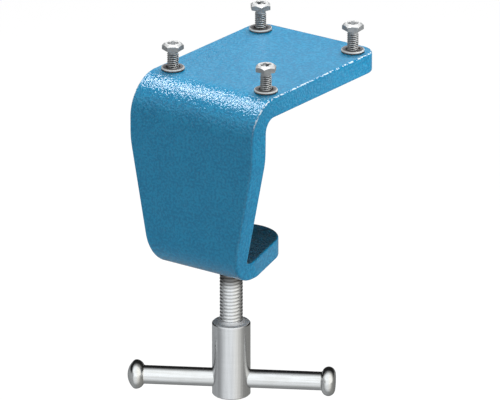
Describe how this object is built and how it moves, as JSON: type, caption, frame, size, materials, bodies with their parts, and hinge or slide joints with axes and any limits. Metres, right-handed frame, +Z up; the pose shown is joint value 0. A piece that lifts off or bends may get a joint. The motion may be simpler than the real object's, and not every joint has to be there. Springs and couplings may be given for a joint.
{
  "type": "vise mounting clamp",
  "caption": "C-shaped bench clamp that carries a small vise: flat plate with bolts on top, tapering web, and a lip with a tommy-bar clamping screw and swivel pad.",
  "frame": {"origin": "where the clamping screw's axis meets the plane of the plate's underside, the face that rests on the bench", "axes": "+X across the plate, +Y from the web towards the plate's rear edge, +Z up along the clamping screw"},
  "size_m": [0.1299, 0.1495, 0.2535],
  "materials": {
    "blue_enamel": "glossy enamel with a fine hammered texture",
    "screw_steel": "turned and zinc plated, satin",
    "bar_steel": "drawn and zinc plated, bright",
    "pad_steel": "turned and zinc plated, satin",
    "bolt_steel": "cold-headed and zinc plated",
    "washer_steel": "stamped and zinc plated, dull"
  },
  "bodies": {
    "bracket": {"bracket": "blue_enamel", "bolt_front_left": "bolt_steel", "bolt_front_right": "bolt_steel", "bolt_back_left": "bolt_steel", "bolt_back_right": "bolt_steel", "washer_front_left": "washer_steel", "washer_front_right": "washer_steel", "washer_back_left": "washer_steel", "washer_back_right": "washer_steel"},
    "pad": {"pressure_pad": "pad_steel"},
    "screw": {"clamp_screw": "screw_steel"},
    "bar": {"tommy_bar": "bar_steel"}
  },
  "joints": [
    {"name": "pad_travel", "type": "slide", "parent": "bracket", "child": "pad", "axis": [0, 0, 1], "range_m": [-0.0265, 0.0447]},
    {"name": "screw_turn", "type": "hinge", "parent": "pad", "child": "screw", "pos_m": [0, 0, -0.0754], "axis": [0, 0, 1], "range_deg": [-3815, 6435.8]},
    {"name": "bar_slide", "type": "slide", "parent": "screw", "child": "bar", "axis": [0.866, 0.5, 0], "range_m": [-0.0485, 0.0455]}
  ],
  "couplings": [
    {"joint": "pad_travel", "follows": "screw_turn", "m_per_rad": 0.00039789}
  ]
}
